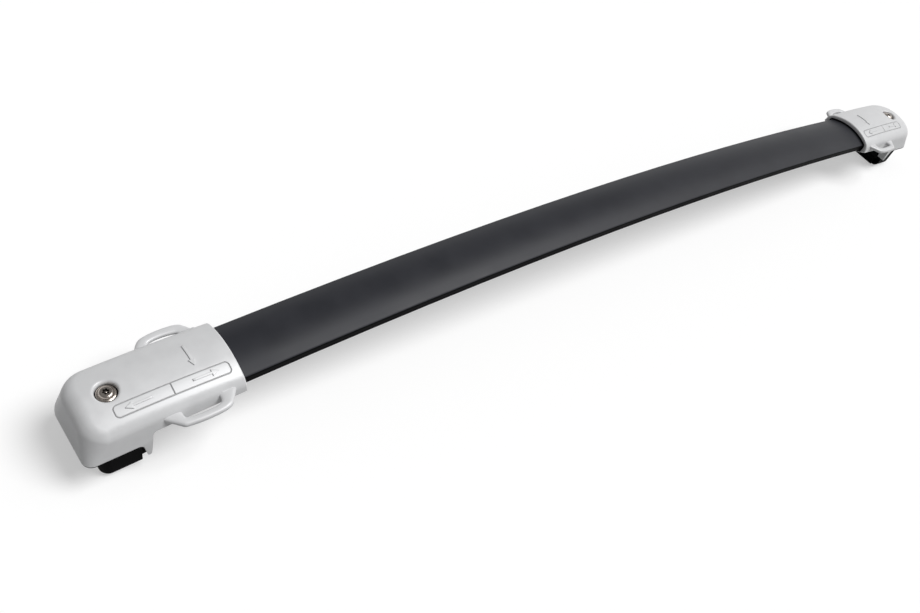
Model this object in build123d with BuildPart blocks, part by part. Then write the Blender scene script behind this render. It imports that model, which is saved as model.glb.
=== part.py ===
"""Roof rack crossbar: an arched bar between two cast end caps, each with a screw clamp for a side rail.

Millimetres, +Z up, X along the bar, the origin on the floor under the middle of the bar. The pieces of
one end are made in a frame of their own (X outward from the mouth of the cap, Z away from the roof)
and are then set on the arch of the bar and mirrored to the other end.
"""

import math
import os

from build123d import *

# crossbar
clear_span = 870.0  # bar in view between the two caps
arch_radius = 4700.0  # curve of the bar, at the upper edge of its side bands
bar_width = 53.5
bar_band = 7.8  # height of the upright band on each side
bar_crown = 6.1  # rise of the top above the bands
bar_belly = 5.0  # drop of the underside below the bands
bar_corner = 2.2
bar_wall = 2.4
web_thickness = 2.0
web_spacing = 18.0
seat_depth = 55.0  # length of the bar inside a cap
seat_clearance = 0.3
seat_end_gap = 0.5

# end cap, outside
cap_length = 126.5  # at the lower rim
rim_half_width = 35.4
side_draft = 9.5  # degrees, the walls lean in above the rim
nose_draft = 11.5
leg_draft = 2.0
nose_front_radius = 8.0  # at the lower rim
nose_front_growth = 0.5  # for each millimetre above the rim
nose_back_radius = 21.0
nose_back_growth = 0.15
roof_peak = 15.9
roof_peak_x = 86.0
roof_radius_along = 1000.0
roof_radius_across = 60.0
roof_edge_radius = 13.0
belly_low = -16.8  # underside at the middle
belly_rise = 10.4  # from there to the lower edge of the side walls
mouth_edge_radius = 1.2
foot_low = -15.3  # lower rim round the jaw
leg_root_x = 76.0
leg_root_radius = 4.0
leg_knee_x = 78.2
leg_knee_z = -29.0
leg_tip_x = 80.6
leg_tip_z = -34.0
leg_tip_radius = 1.6
leg_heel_x = 84.2  # where the outer edge of the leg meets the rim
leg_heel_radius = 5.0
leg_depth = 9.0  # of each leg, from the outside
cross_wall_low = -26.0

# end cap, inside
pocket_x = 80.3
nose_wall = 4.5
pocket_half_width = 31.9
pocket_top = -8.0
pocket_front_corner = 8.0
pocket_back_corner = 19.0
core_half_width = 24.0  # the hollow above the jaw
core_start_x = 84.0
core_end_x = 112.0
core_corner = 8.0
core_top = 3.0
guide_width = 4.0
guide_spacing = 32.0
guide_low = -13.5

# tie-down loops
loop_start_x = 10.5
loop_near_x = 28.0
loop_far_x = 55.5
loop_end_x = 66.0
loop_reach = 13.4  # from the side wall to the outer edge, at the end near the mouth
loop_far_reach = 10.9
loop_bar = 5.4
loop_top = 2.6
loop_thickness = 5.0
loop_hole_start_x = 21.0  # at the wall
loop_hole_near_x = 28.5  # at the outer bar
loop_hole_far_x = 51.0
loop_hole_end_x = 53.5
loop_hole_corner = 2.4
loop_corner = 5.0
loop_edge = 1.5

# outlined panel on the roof
panel_start_x = 6.5
panel_end_x = 96.5
panel_divider_x = 52.5
panel_y = -18.0
panel_width = 10.0
panel_corner = 3.5
groove_width = 0.9
groove_depth = 0.5

# clamp bolt
bolt_x = 94.0
bolt_radius = 3.0
bolt_length = 49.0
bolt_tip = 0.8
head_radius = 5.8
head_height = 3.3
head_band = 0.9
head_flat_radius = 3.3
drive_radius = 2.0
drive_lobe_radius = 0.72
drive_depth = 1.9
recess_radius = 8.3
recess_edge = 2.2
recess_floor = 10.4
washer_radius = 8.0
washer_thickness = 1.4
washer_clearance = 0.2
bolt_hole_clearance = 0.1
boss_radius = 8.0
ring_radius = 5.5
ring_thickness = 1.0
ring_groove_depth = 0.5
ring_clearance = 0.05
ring_gap = 0.3
ring_slot = 3.0

# clamp jaw
jaw_start_x = 84.0
jaw_end_x = 114.5
jaw_half_width = 31.5
jaw_top = -10.0
jaw_bottom = -45.0
jaw_front_corner = 8.0
jaw_back_corner = 14.0
jaw_heel_radius = 6.0
jaw_wall = 4.0
jaw_floor = 5.0
jaw_core_half = 9.0  # half the width of the middle block that holds the nut
toe_start_x = 77.0
toe_half_width = 25.0
toe_thickness = 8.0
toe_radius = 4.0
jaw_pad_thickness = 2.0
jaw_pad_margin = 0.8
jaw_bolt_clearance = 0.5
jaw_bolt_run = 1.4
nut_side = 10.0
nut_thickness = 5.0
nut_top = -19.0
nut_side_gap = 0.15
nut_chamfer = 0.8
thread_clearance = 0.06

# rubber pieces
leg_pad_thickness = 2.0
leg_pad_gap = 0.4
leg_pad_top = -9.0
leg_pad_low = -33.0
leg_foot_low = -34.6
leg_foot_start_x = 78.4
gasket_thickness = 1.4
gasket_margin = 0.4
gasket_inner_gap = 0.3
gasket_start_x = 90.0
seal_width = 2.0
seal_depth = 3.5
seal_recess = 0.4
seal_clearance = 0.1

# bar screws
screw_x = 32.0
screw_y = 15.0
screw_radius = 2.4
screw_tip_z = -4.0
screw_head_radius = 4.6
screw_head_height = 1.7
screw_seat_z = -13.2
screw_clearance = 0.1
screw_head_clearance = 0.25
screw_head_chamfer = 0.6
screw_drive_radius = 1.8
screw_drive_depth = 1.1

# where the ends sit: the lowest point of the jaws is on the floor
end_angle = math.degrees(math.asin((clear_span + seat_depth) / 2 / arch_radius))
end_sin = math.sin(math.radians(end_angle))
end_cos = math.cos(math.radians(end_angle))
heel_x = jaw_end_x - jaw_heel_radius
heel_z = jaw_bottom + jaw_heel_radius
seat_middle_z = (heel_x - seat_depth / 2) * end_sin - heel_z * end_cos + jaw_heel_radius
arch_axis_z = seat_middle_z - arch_radius * end_cos
seat_middle = Vector(arch_radius * end_sin, 0, seat_middle_z)
outward = Vector(end_cos, 0, -end_sin)
right_end = Plane(origin=seat_middle - outward * (seat_depth / 2), x_dir=outward, z_dir=(end_sin, 0, end_cos))
arch_axis = Axis((0, 0, arch_axis_z), (0, 1, 0))
seat_axis = Axis((seat_depth / 2, 0, -arch_radius), (0, 1, 0))
roof_axis = Axis((roof_peak_x, 0, roof_peak - roof_radius_along), (0, 1, 0))


def arch_plane(axis, radius, angle):
    """Plane across an arch about an axis along Y, at an angle in degrees from its crest."""
    turn = math.radians(angle)
    across = Vector(math.sin(turn), 0, math.cos(turn))
    along = Vector(math.cos(turn), 0, -math.sin(turn))
    return Plane(origin=axis.position + across * radius, x_dir=(0, 1, 0), z_dir=along)


def arch_angle(length, radius):
    """Angle in degrees of a length along an arch."""
    return math.degrees(length / radius)


def arc_rise(half_chord, radius):
    """Height of an arc over its chord."""
    return radius - math.sqrt(radius**2 - half_chord**2)


def bar_section(grow):
    """Cross-section of the bar, moved out all round by grow."""
    half = bar_width / 2
    with BuildSketch() as section:
        with BuildLine():
            ThreePointArc((-half, 0), (0, bar_crown), (half, 0))
            Line((half, 0), (half, -bar_band))
            ThreePointArc((half, -bar_band), (0, -bar_band - bar_belly), (-half, -bar_band))
            Line((-half, -bar_band), (-half, 0))
        make_face()
        fillet(section.vertices(), bar_corner)
        if grow:
            offset(amount=grow)
    return section.sketch


def bar_hollow():
    """The hollows of the bar between its webs."""
    with BuildSketch() as hollow:
        add(bar_section(-bar_wall))
        with GridLocations(web_spacing, 0, 2, 1):
            Rectangle(web_thickness, 4 * bar_band, mode=Mode.SUBTRACT)
    return hollow.sketch


def wall_y(height):
    """Half width of the cap at a height."""
    draft = side_draft if height > foot_low else leg_draft
    return rim_half_width - (height - foot_low) * math.tan(math.radians(draft))


def cap_outline(height, inset):
    """Outline of the cap seen from above at a height, moved in by inset."""
    rise = max(height - foot_low, 0)
    length = cap_length - rise * math.tan(math.radians(nose_draft)) - inset
    half = wall_y(height) - inset
    front = nose_front_radius + rise * nose_front_growth - inset
    back = nose_back_radius + rise * nose_back_growth - inset
    with BuildSketch() as outline:
        with BuildLine():
            Line((0, -half), (length - front, -half))
            TangentArc((length - front, -half), (length, front - half), tangent=(1, 0))
            Line((length, front - half), (length, half - back))
            TangentArc((length, half - back), (length - back, half), tangent=(0, 1))
            Polyline((length - back, half), (0, half), (0, -half))
        make_face()
    return outline.sketch


def pocket_outline(grow):
    """Outline of the jaw's pocket seen from above, moved out by grow."""
    length = cap_length - nose_wall - pocket_x
    with BuildSketch() as outline:
        with Locations((pocket_x + length / 2, 0)):
            Rectangle(length + 2 * grow, 2 * (pocket_half_width + grow))
        front, back = outline.vertices().group_by(Axis.X)[-1].sort_by(Axis.Y)
        fillet(front, pocket_front_corner + grow)
        fillet(back, pocket_back_corner + grow)
    return outline.sketch


def panel_outline(inset):
    """Outline of the panel on the roof, moved in by inset."""
    length = panel_end_x - panel_start_x
    with BuildSketch() as outline:
        with Locations(((panel_start_x + panel_end_x) / 2, panel_y)):
            RectangleRounded(length - 2 * inset, panel_width - 2 * inset, panel_corner - inset)
    return outline.sketch


def roof_body(drop):
    """All that lies under the crowned roof lowered by drop."""
    half = 55.0
    sweep = arch_angle(2 * cap_length, roof_radius_along)
    with BuildPart() as body:
        with BuildSketch(arch_plane(roof_axis, roof_radius_along, -sweep / 2)):
            with BuildLine():
                edge = -drop - arc_rise(half, roof_radius_across)
                ThreePointArc((-half, edge), (0, -drop), (half, edge))
                Polyline((half, edge), (half, -120), (-half, -120), (-half, edge))
            make_face()
        revolve(axis=roof_axis, revolution_arc=sweep)
    return body.part


def seat_plane(x):
    """Plane across the seated bar at a distance along the cap from its mouth."""
    return arch_plane(seat_axis, arch_radius, arch_angle(x - seat_depth / 2, arch_radius))


leg_inner_y = wall_y(cross_wall_low) - leg_depth
guide_length = cap_length - nose_wall - jaw_end_x - leg_pad_gap

with BuildPart() as screw_bores:
    with BuildSketch(Plane.XY.offset(belly_low)):
        with GridLocations(0, 2 * screw_y, 1, 2):
            with Locations((screw_x, 0)):
                Circle(screw_radius + screw_clearance)
    extrude(amount=screw_tip_z - belly_low + 1)

with BuildPart() as bar_bores:
    with Locations(right_end.location):
        add(screw_bores.part)
    mirror(bar_bores.part, about=Plane.YZ)

bar_half_angle = end_angle + arch_angle(seat_depth / 2, arch_radius)
with BuildPart() as crossbar:
    with BuildSketch(arch_plane(arch_axis, arch_radius, -bar_half_angle)):
        add(bar_section(0))
        add(bar_hollow(), mode=Mode.SUBTRACT)
    revolve(axis=arch_axis, revolution_arc=2 * bar_half_angle)
    add(bar_bores.part, mode=Mode.SUBTRACT)

belly_edge_z = belly_low + belly_rise
belly_edge_y = wall_y(belly_edge_z)
belly_radius = (belly_edge_y**2 + belly_rise**2) / (2 * belly_rise)
with BuildPart() as belly_cut:
    with BuildSketch(Plane.YZ.offset(-5)):
        with BuildLine():
            belly_half = belly_edge_y + 6.0
            belly_side = belly_low + arc_rise(belly_half, belly_radius)
            ThreePointArc((-belly_half, belly_side), (0, belly_low), (belly_half, belly_side))
            Polyline(
                (belly_half, belly_side), (belly_half, -70), (-belly_half, -70), (-belly_half, belly_side)
            )
        make_face()
    extrude(amount=leg_root_x + 5)
    fillet(belly_cut.edges().group_by(Axis.X)[-1].sort_by(Axis.Z)[-1], leg_root_radius)

with BuildPart() as panel_groove:
    with BuildSketch(Plane.XY):
        add(panel_outline(0))
        add(panel_outline(groove_width), mode=Mode.SUBTRACT)
        with Locations((panel_divider_x, panel_y)):
            Rectangle(groove_width, panel_width - groove_width)
    extrude(amount=roof_peak + 4)
    add(roof_body(groove_depth), mode=Mode.SUBTRACT)

loop_wall_y = wall_y(0)
loop_root_y = loop_wall_y - 4.0
loop_out_y = loop_wall_y + loop_reach
loop_far_y = loop_wall_y + loop_far_reach
with BuildPart() as loops:
    with BuildSketch(Plane.XY.offset(loop_top - loop_thickness)) as loop_plan:
        with BuildLine():
            Polyline(
                (loop_start_x, loop_root_y),
                (loop_start_x, loop_wall_y),
                (loop_near_x, loop_out_y),
                (loop_far_x, loop_far_y),
                (loop_end_x, loop_wall_y),
                (loop_end_x, loop_root_y),
                (loop_hole_end_x, loop_root_y),
                (loop_hole_end_x, loop_wall_y),
                (loop_hole_far_x, loop_far_y - loop_bar),
                (loop_hole_near_x, loop_out_y - loop_bar),
                (loop_hole_start_x, loop_wall_y),
                (loop_hole_start_x, loop_root_y),
                close=True,
            )
        make_face()
        for x, y, corner in (
            (loop_near_x, loop_out_y, loop_corner),
            (loop_far_x, loop_far_y, loop_corner),
            (loop_hole_near_x, loop_out_y - loop_bar, loop_hole_corner),
            (loop_hole_far_x, loop_far_y - loop_bar, loop_hole_corner),
        ):
            fillet(loop_plan.vertices().sort_by_distance((x, y))[0], corner)
    extrude(amount=loop_thickness)
    loop_rims = loops.faces().filter_by(Axis.Z).edges()
    fillet(loop_rims.filter_by_position(Axis.Y, loop_root_y + 0.1, loop_out_y + 0.1), loop_edge)
    mirror(about=Plane.XZ)

with BuildPart() as cap_roof:
    add(roof_body(0))
    with BuildSketch(Plane.XY.offset(recess_floor)):
        with Locations((bolt_x, 0)):
            Circle(recess_radius)
    extrude(amount=roof_peak, mode=Mode.SUBTRACT)
    roof = cap_roof.faces().filter_by(GeomType.TORUS).sort_by(SortBy.AREA)[-1]
    fillet(roof.inner_wires()[0].edges(), recess_edge)
    add(panel_groove.part, mode=Mode.SUBTRACT)

block_low = leg_tip_z - 2.0
block_high = roof_peak + 4.0
with BuildPart() as end_cap:
    for level in (block_low, foot_low, block_high):
        with BuildSketch(Plane.XY.offset(level)):
            add(cap_outline(level, 0))
    loft(ruled=True)
    add(cap_roof.part, mode=Mode.INTERSECT)
    roof = end_cap.faces().filter_by(GeomType.TORUS).sort_by(SortBy.AREA)[-1]
    fillet(roof.outer_wire().edges().sort_by(Axis.X)[1:], roof_edge_radius)
    # underside and mouth
    add(belly_cut.part, mode=Mode.SUBTRACT)
    fillet(end_cap.edges().group_by(Axis.X)[0], mouth_edge_radius)
    # legs and the rim round the jaw
    with BuildSketch(Plane.XZ) as leg_cut:
        with BuildLine():
            Polyline(
                (leg_root_x, belly_edge_z - leg_root_radius),
                (leg_knee_x, leg_knee_z),
                (leg_tip_x, leg_tip_z),
                (leg_heel_x, foot_low),
                (cap_length + 5, foot_low),
                (cap_length + 5, block_low - 5),
                (leg_root_x, block_low - 5),
                close=True,
            )
        make_face()
        fillet(leg_cut.vertices().sort_by_distance((leg_tip_x, leg_tip_z))[0], leg_tip_radius)
        fillet(leg_cut.vertices().sort_by_distance((leg_heel_x, foot_low))[0], leg_heel_radius)
    extrude(amount=60, both=True, mode=Mode.SUBTRACT)
    with BuildSketch(Plane.XY.offset(cross_wall_low)):
        with Locations((leg_tip_x, 0)):
            Rectangle(30, 2 * leg_inner_y)
    extrude(amount=-30, mode=Mode.SUBTRACT)
    add(loops.part)
    # pocket of the jaw, with the boss of the bolt and two guides
    with BuildSketch(Plane.XY.offset(pocket_top)):
        add(pocket_outline(0))
    extrude(amount=-60, mode=Mode.SUBTRACT)
    with BuildSketch(Plane.XY.offset(pocket_top)):
        with Locations(((core_start_x + core_end_x) / 2, 0)):
            RectangleRounded(core_end_x - core_start_x, 2 * core_half_width, core_corner)
        with Locations((bolt_x, 0)):
            Circle(boss_radius, mode=Mode.SUBTRACT)
    extrude(amount=core_top - pocket_top, mode=Mode.SUBTRACT)
    with BuildSketch(Plane.XY.offset(guide_low)):
        with Locations((cap_length - nose_wall - guide_length / 2, 0)):
            with GridLocations(0, guide_spacing, 1, 2):
                Rectangle(guide_length, guide_width)
    extrude(amount=pocket_top - guide_low)
    with BuildSketch(Plane.XY.offset(recess_floor)):
        with Locations((bolt_x, 0)):
            Circle(bolt_radius + bolt_hole_clearance)
    extrude(amount=-30, mode=Mode.SUBTRACT)
    # socket of the bar, the groove of its seal, and the bores of its screws
    for grow, depth in ((seat_clearance, seat_depth + seat_end_gap), (seal_width, seal_depth)):
        with BuildSketch(seat_plane(-2)):
            add(bar_section(grow))
        sweep = arch_angle(depth + 2, arch_radius)
        revolve(axis=seat_axis, revolution_arc=sweep, mode=Mode.SUBTRACT)
    add(screw_bores.part, mode=Mode.SUBTRACT)
    with BuildSketch(Plane.XY.offset(screw_seat_z)):
        with Locations((screw_x, -screw_y), (screw_x, screw_y)):
            Circle(screw_head_radius + screw_head_clearance)
    extrude(amount=-20, mode=Mode.SUBTRACT)

with BuildPart() as bar_seal:
    with BuildSketch(seat_plane(seal_recess)):
        add(bar_section(seal_width))
        add(bar_section(seal_clearance), mode=Mode.SUBTRACT)
    revolve(axis=seat_axis, revolution_arc=arch_angle(seal_depth - seal_recess, arch_radius))

with BuildPart() as bar_screws:
    with BuildSketch(Plane.XY.offset(screw_seat_z - screw_head_height)) as screw_heads:
        with Locations((screw_x, -screw_y), (screw_x, screw_y)):
            Circle(screw_head_radius)
    extrude(amount=screw_head_height)
    chamfer(bar_screws.edges().group_by(Axis.Z)[0], screw_head_chamfer)
    with BuildSketch(Plane.XY.offset(screw_seat_z)):
        with Locations((screw_x, -screw_y), (screw_x, screw_y)):
            Circle(screw_radius)
    extrude(amount=screw_tip_z - screw_seat_z)
    with BuildSketch(Plane.XY.offset(screw_seat_z - screw_head_height)):
        with Locations((screw_x, -screw_y), (screw_x, screw_y)):
            RegularPolygon(screw_drive_radius, 6)
    extrude(amount=screw_drive_depth, mode=Mode.SUBTRACT)

with BuildPart() as base_gasket:
    with BuildSketch(Plane.XY.offset(foot_low)):
        add(cap_outline(foot_low, gasket_margin))
        add(pocket_outline(gasket_inner_gap), mode=Mode.SUBTRACT)
        with Locations((gasket_start_x / 2, 0)):
            Rectangle(gasket_start_x, 4 * rim_half_width, mode=Mode.SUBTRACT)
    extrude(amount=-gasket_thickness)

with BuildPart() as leg_pad:
    with BuildSketch(Plane.XY.offset(leg_pad_low)):
        with Locations((pocket_x + leg_pad_thickness / 2, 0)):
            Rectangle(leg_pad_thickness, 2 * (pocket_half_width - leg_pad_gap))
    extrude(amount=leg_pad_top - leg_pad_low)
    foot_end_x = pocket_x + leg_pad_thickness
    with BuildSketch(Plane.XY.offset(leg_foot_low)):
        with Locations(((leg_foot_start_x + foot_end_x) / 2, 0)):
            Rectangle(foot_end_x - leg_foot_start_x, 2 * (leg_inner_y - leg_pad_gap))
    extrude(amount=cross_wall_low - leg_foot_low)

bolt_seat_z = recess_floor + washer_thickness
bolt_tip_z = bolt_seat_z - bolt_length
head_top_z = bolt_seat_z + head_height
ring_top_z = pocket_top - ring_gap
ring_low_z = ring_top_z - ring_thickness
bolt_axis = Axis((bolt_x, 0, 0), (0, 0, 1))
with BuildPart() as clamp_bolt:
    with BuildSketch(Plane.XZ.shift_origin((bolt_x, 0, 0))):
        with BuildLine():
            Polyline(
                (head_flat_radius, head_top_z),
                (0, head_top_z),
                (0, bolt_tip_z),
                (bolt_radius - bolt_tip, bolt_tip_z),
                (bolt_radius, bolt_tip_z + bolt_tip),
                (bolt_radius, ring_low_z - ring_clearance),
                (bolt_radius - ring_groove_depth, ring_low_z - ring_clearance),
                (bolt_radius - ring_groove_depth, ring_top_z + ring_clearance),
                (bolt_radius, ring_top_z + ring_clearance),
                (bolt_radius, bolt_seat_z),
                (head_radius, bolt_seat_z),
                (head_radius, bolt_seat_z + head_band),
            )
            TangentArc((head_radius, bolt_seat_z + head_band), (head_flat_radius, head_top_z), tangent=(0, 1))
        make_face()
    revolve(axis=bolt_axis)
    with BuildSketch(Plane.XY.offset(head_top_z)):
        with Locations((bolt_x, 0)):
            Circle(drive_radius)
            with PolarLocations(drive_radius, 6):
                Circle(drive_lobe_radius)
    extrude(amount=-drive_depth, mode=Mode.SUBTRACT)

with BuildPart() as bolt_washer:
    with BuildSketch(Plane.XY.offset(recess_floor)):
        with Locations((bolt_x, 0)):
            Circle(washer_radius)
            Circle(bolt_radius + washer_clearance, mode=Mode.SUBTRACT)
    extrude(amount=washer_thickness)

with BuildPart() as bolt_ring:
    with BuildSketch(Plane.XY.offset(ring_low_z)):
        with Locations((bolt_x, 0)):
            Circle(ring_radius)
            Circle(bolt_radius - ring_groove_depth + ring_clearance, mode=Mode.SUBTRACT)
        with Locations((bolt_x + ring_radius / 2, 0)):
            Rectangle(ring_radius, ring_slot, mode=Mode.SUBTRACT)
    extrude(amount=ring_thickness)

with BuildPart() as clamp_jaw:
    with BuildSketch(Plane.XY.offset(jaw_bottom)) as jaw_plan:
        with Locations(((jaw_start_x + jaw_end_x) / 2, 0)):
            Rectangle(jaw_end_x - jaw_start_x, 2 * jaw_half_width)
        front, back = jaw_plan.vertices().group_by(Axis.X)[-1].sort_by(Axis.Y)
        fillet(front, jaw_front_corner)
        fillet(back, jaw_back_corner)
    extrude(amount=jaw_top - jaw_bottom)
    fillet(clamp_jaw.faces().sort_by(Axis.Z)[0].edges().sort_by(Axis.X)[1:], jaw_heel_radius)
    with BuildSketch(Plane.XY.offset(jaw_bottom)):
        with Locations(((toe_start_x + jaw_start_x + jaw_wall) / 2, 0)):
            Rectangle(jaw_start_x + jaw_wall - toe_start_x, 2 * toe_half_width)
    extrude(amount=toe_thickness)
    fillet(clamp_jaw.edges().group_by(Axis.X)[0].sort_by(Axis.Z)[0], toe_radius)
    # hollows either side of the middle block
    core_half = (jaw_half_width - jaw_wall - jaw_core_half) / 2
    core_middle = (jaw_start_x + jaw_end_x) / 2
    with BuildSketch(Plane.XY.offset(jaw_bottom + jaw_floor)):
        with Locations((core_middle, 0)):
            with GridLocations(0, 2 * (jaw_core_half + core_half), 1, 2):
                RectangleRounded(jaw_end_x - jaw_start_x - 2 * jaw_wall, 2 * core_half, jaw_wall)
    extrude(amount=jaw_top - jaw_bottom, mode=Mode.SUBTRACT)
    # run of the bolt and the slot of the nut
    with BuildSketch(Plane.XY.offset(bolt_tip_z - jaw_bolt_run)):
        with Locations((bolt_x, 0)):
            Circle(bolt_radius + jaw_bolt_clearance)
    extrude(amount=60, mode=Mode.SUBTRACT)
    slot_start_x = bolt_x - nut_side / 2 - nut_side_gap
    with BuildSketch(Plane.XY.offset(nut_top)):
        with Locations(((slot_start_x + jaw_end_x + 1) / 2, 0)):
            Rectangle(jaw_end_x + 1 - slot_start_x, nut_side + 2 * nut_side_gap)
    extrude(amount=-nut_thickness - nut_side_gap, mode=Mode.SUBTRACT)

with BuildPart() as clamp_nut:
    with BuildSketch(Plane.XY.offset(nut_top)) as nut_plan:
        with Locations((bolt_x, 0)):
            Rectangle(nut_side, nut_side)
        chamfer(nut_plan.vertices(), nut_chamfer)
        with Locations((bolt_x, 0)):
            Circle(bolt_radius + thread_clearance, mode=Mode.SUBTRACT)
    extrude(amount=-nut_thickness)

toe_top = jaw_bottom + toe_thickness
with BuildPart() as jaw_pad:
    with BuildSketch(Plane.XY.offset(toe_top)):
        with Locations(((toe_start_x + jaw_start_x) / 2, 0)):
            Rectangle(jaw_start_x - toe_start_x - jaw_pad_margin, 2 * (toe_half_width - jaw_pad_margin))
    extrude(amount=jaw_pad_thickness)

os.makedirs("parts", exist_ok=True)
crossbar.part.label = "crossbar"
export_step(crossbar.part, "parts/crossbar.step")

end_pieces = {
    "end_cap": end_cap,
    "bar_seal": bar_seal,
    "bar_screws": bar_screws,
    "base_gasket": base_gasket,
    "leg_pad": leg_pad,
    "clamp_bolt": clamp_bolt,
    "bolt_washer": bolt_washer,
    "bolt_ring": bolt_ring,
    "clamp_jaw": clamp_jaw,
    "clamp_nut": clamp_nut,
    "jaw_pad": jaw_pad,
}
for name, piece in end_pieces.items():
    with BuildPart() as right_piece:
        with Locations(right_end.location):
            add(piece.part)
    with BuildPart() as left_piece:
        mirror(right_piece.part, about=Plane.YZ)
    right_piece.part.label = f"right_{name}"
    left_piece.part.label = f"left_{name}"
    export_step(right_piece.part, f"parts/right_{name}.step")
    export_step(left_piece.part, f"parts/left_{name}.step")
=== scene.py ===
"""Looks of an arched roof rack crossbar with silver end caps, on a pale studio floor."""

import logging
import math
from collections.abc import Callable, Iterator
from contextlib import contextmanager
from dataclasses import dataclass
from enum import Enum

import bpy
from mathutils import Matrix, Vector


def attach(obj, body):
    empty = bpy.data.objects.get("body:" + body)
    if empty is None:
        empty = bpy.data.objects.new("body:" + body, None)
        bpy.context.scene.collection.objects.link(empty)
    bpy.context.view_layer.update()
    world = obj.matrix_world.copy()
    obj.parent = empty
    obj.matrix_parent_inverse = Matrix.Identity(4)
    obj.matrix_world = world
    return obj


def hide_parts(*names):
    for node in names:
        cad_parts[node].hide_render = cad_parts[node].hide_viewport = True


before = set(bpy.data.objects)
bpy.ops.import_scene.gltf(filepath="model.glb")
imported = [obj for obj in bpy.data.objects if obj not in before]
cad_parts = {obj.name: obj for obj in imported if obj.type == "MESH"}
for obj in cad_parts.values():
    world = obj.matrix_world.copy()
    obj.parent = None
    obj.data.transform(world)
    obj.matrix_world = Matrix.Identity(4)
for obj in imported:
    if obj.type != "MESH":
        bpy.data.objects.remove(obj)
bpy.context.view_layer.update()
LOG = logging.getLogger("crossbar")

Colour = tuple[float, float, float]
Point = tuple[float, float, float]
Curve = tuple[tuple[float, float], ...]
Piece = bpy.types.Object
Socket = bpy.types.NodeSocket

MM = 0.001
ORIGIN = (0.0, 0.0, 0.0)
UNIT = 1.0  # size of a shape before it is stretched
ALONG, ACROSS = 0.0, 90.0  # turns on a roof in degrees
MERGE_GAP = 1e-6  # metres between points that count as one
FACING = 0.5  # least share of a normal along the way that its face looks
CORNER_CUT = 0.25  # share of a line that each round takes off at a corner
EDGE_SEGMENTS = 2
SMOOTH_ANGLE = math.radians(35.0)
LOOP_SMOOTH_ANGLE = math.radians(50.0)

PATTERN_MIDDLE = (0.3, 0.7)  # values between which most of a pattern lies
PATCH_DETAIL = 3.0
GRAIN_DETAIL = 2.0
BEVEL_SAMPLES = 6


class Side(Enum):
    """The two ends of the bar, by the sign of X."""

    LEFT = -1
    RIGHT = 1

    @property
    def word(self) -> str:
        """Name of the end in node and body names."""
        return self.name.lower()


class Wall(Enum):
    """The two side walls of a cap, by the sign of Y."""

    FRONT = -1
    BACK = 1


class Element(Enum):
    """What is picked on a mesh."""

    VERTEX = "VERT"
    EDGE = "EDGE"
    FACE = "FACE"


class Carving(Enum):
    """What carving does to a piece where the block is."""

    CLEAR = "DIFFERENCE"
    KEEP = "INTERSECT"


class Graph:
    """Node tree of one material, with a Principled surface."""

    def __init__(self, name: str) -> None:
        """Start a material.

        Args:
            name: Name of the material.
        """
        self.material = bpy.data.materials.new(name)
        self.material.use_nodes = True
        self.nodes = self.material.node_tree.nodes
        self.links = self.material.node_tree.links
        self.surface = self.nodes["Principled BSDF"]
        self.place = self.nodes.new("ShaderNodeTexCoord").outputs["Object"]

    def noise(self, size: float, detail: float) -> Socket:
        """Cloudy pattern.

        Args:
            size: Width of its largest patches in metres.
            detail: Octaves of finer pattern.

        Returns:
            The pattern's value.
        """
        node = self.nodes.new("ShaderNodeTexNoise")
        node.inputs["Scale"].default_value = 1.0 / size
        node.inputs["Detail"].default_value = detail
        self.links.new(self.place, node.inputs["Vector"])
        return node.outputs["Fac"]

    def spread(self, value: Socket, low: float, high: float) -> Socket:
        """Map the middle range of a pattern to a range of numbers.

        Args:
            value: Pattern about 0.5.
            low: Number at the low end of the pattern's middle range.
            high: Number at its high end.

        Returns:
            The mapped value.
        """
        node = self.nodes.new("ShaderNodeMapRange")
        node.inputs["From Min"].default_value = PATTERN_MIDDLE[0]
        node.inputs["From Max"].default_value = PATTERN_MIDDLE[1]
        node.inputs["To Min"].default_value = low
        node.inputs["To Max"].default_value = high
        self.links.new(value, node.inputs["Value"])
        return node.outputs["Result"]

    def shades(self, value: Socket, dark: Colour, light: Colour) -> None:
        """Colour the surface between two shades of one pattern.

        Args:
            value: Pattern about 0.5.
            dark: Shade at the low end of the pattern's middle range.
            light: Shade at its high end.
        """
        ramp = self.nodes.new("ShaderNodeValToRGB")
        ramp.color_ramp.elements[0].position = PATTERN_MIDDLE[0]
        ramp.color_ramp.elements[0].color = (*dark, 1.0)
        ramp.color_ramp.elements[1].position = PATTERN_MIDDLE[1]
        ramp.color_ramp.elements[1].color = (*light, 1.0)
        self.links.new(value, ramp.inputs["Fac"])
        self.links.new(ramp.outputs["Color"], self.surface.inputs["Base Color"])

    def bump(self, height: Socket, depth: float, edge: float) -> None:
        """Give the surface a fine relief and soften its edges.

        Args:
            height: Pattern of the relief.
            depth: Its depth in metres.
            edge: Radius of the softened edges in metres, or 0 for none.
        """
        node = self.nodes.new("ShaderNodeBump")
        if edge:
            round_edge = self.nodes.new("ShaderNodeBevel")
            round_edge.samples = BEVEL_SAMPLES
            round_edge.inputs["Radius"].default_value = edge
            self.links.new(round_edge.outputs["Normal"], node.inputs["Normal"])
        node.inputs["Strength"].default_value = 1.0
        node.inputs["Distance"].default_value = depth
        self.links.new(height, node.inputs["Height"])
        self.links.new(node.outputs["Normal"], self.surface.inputs["Normal"])


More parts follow.
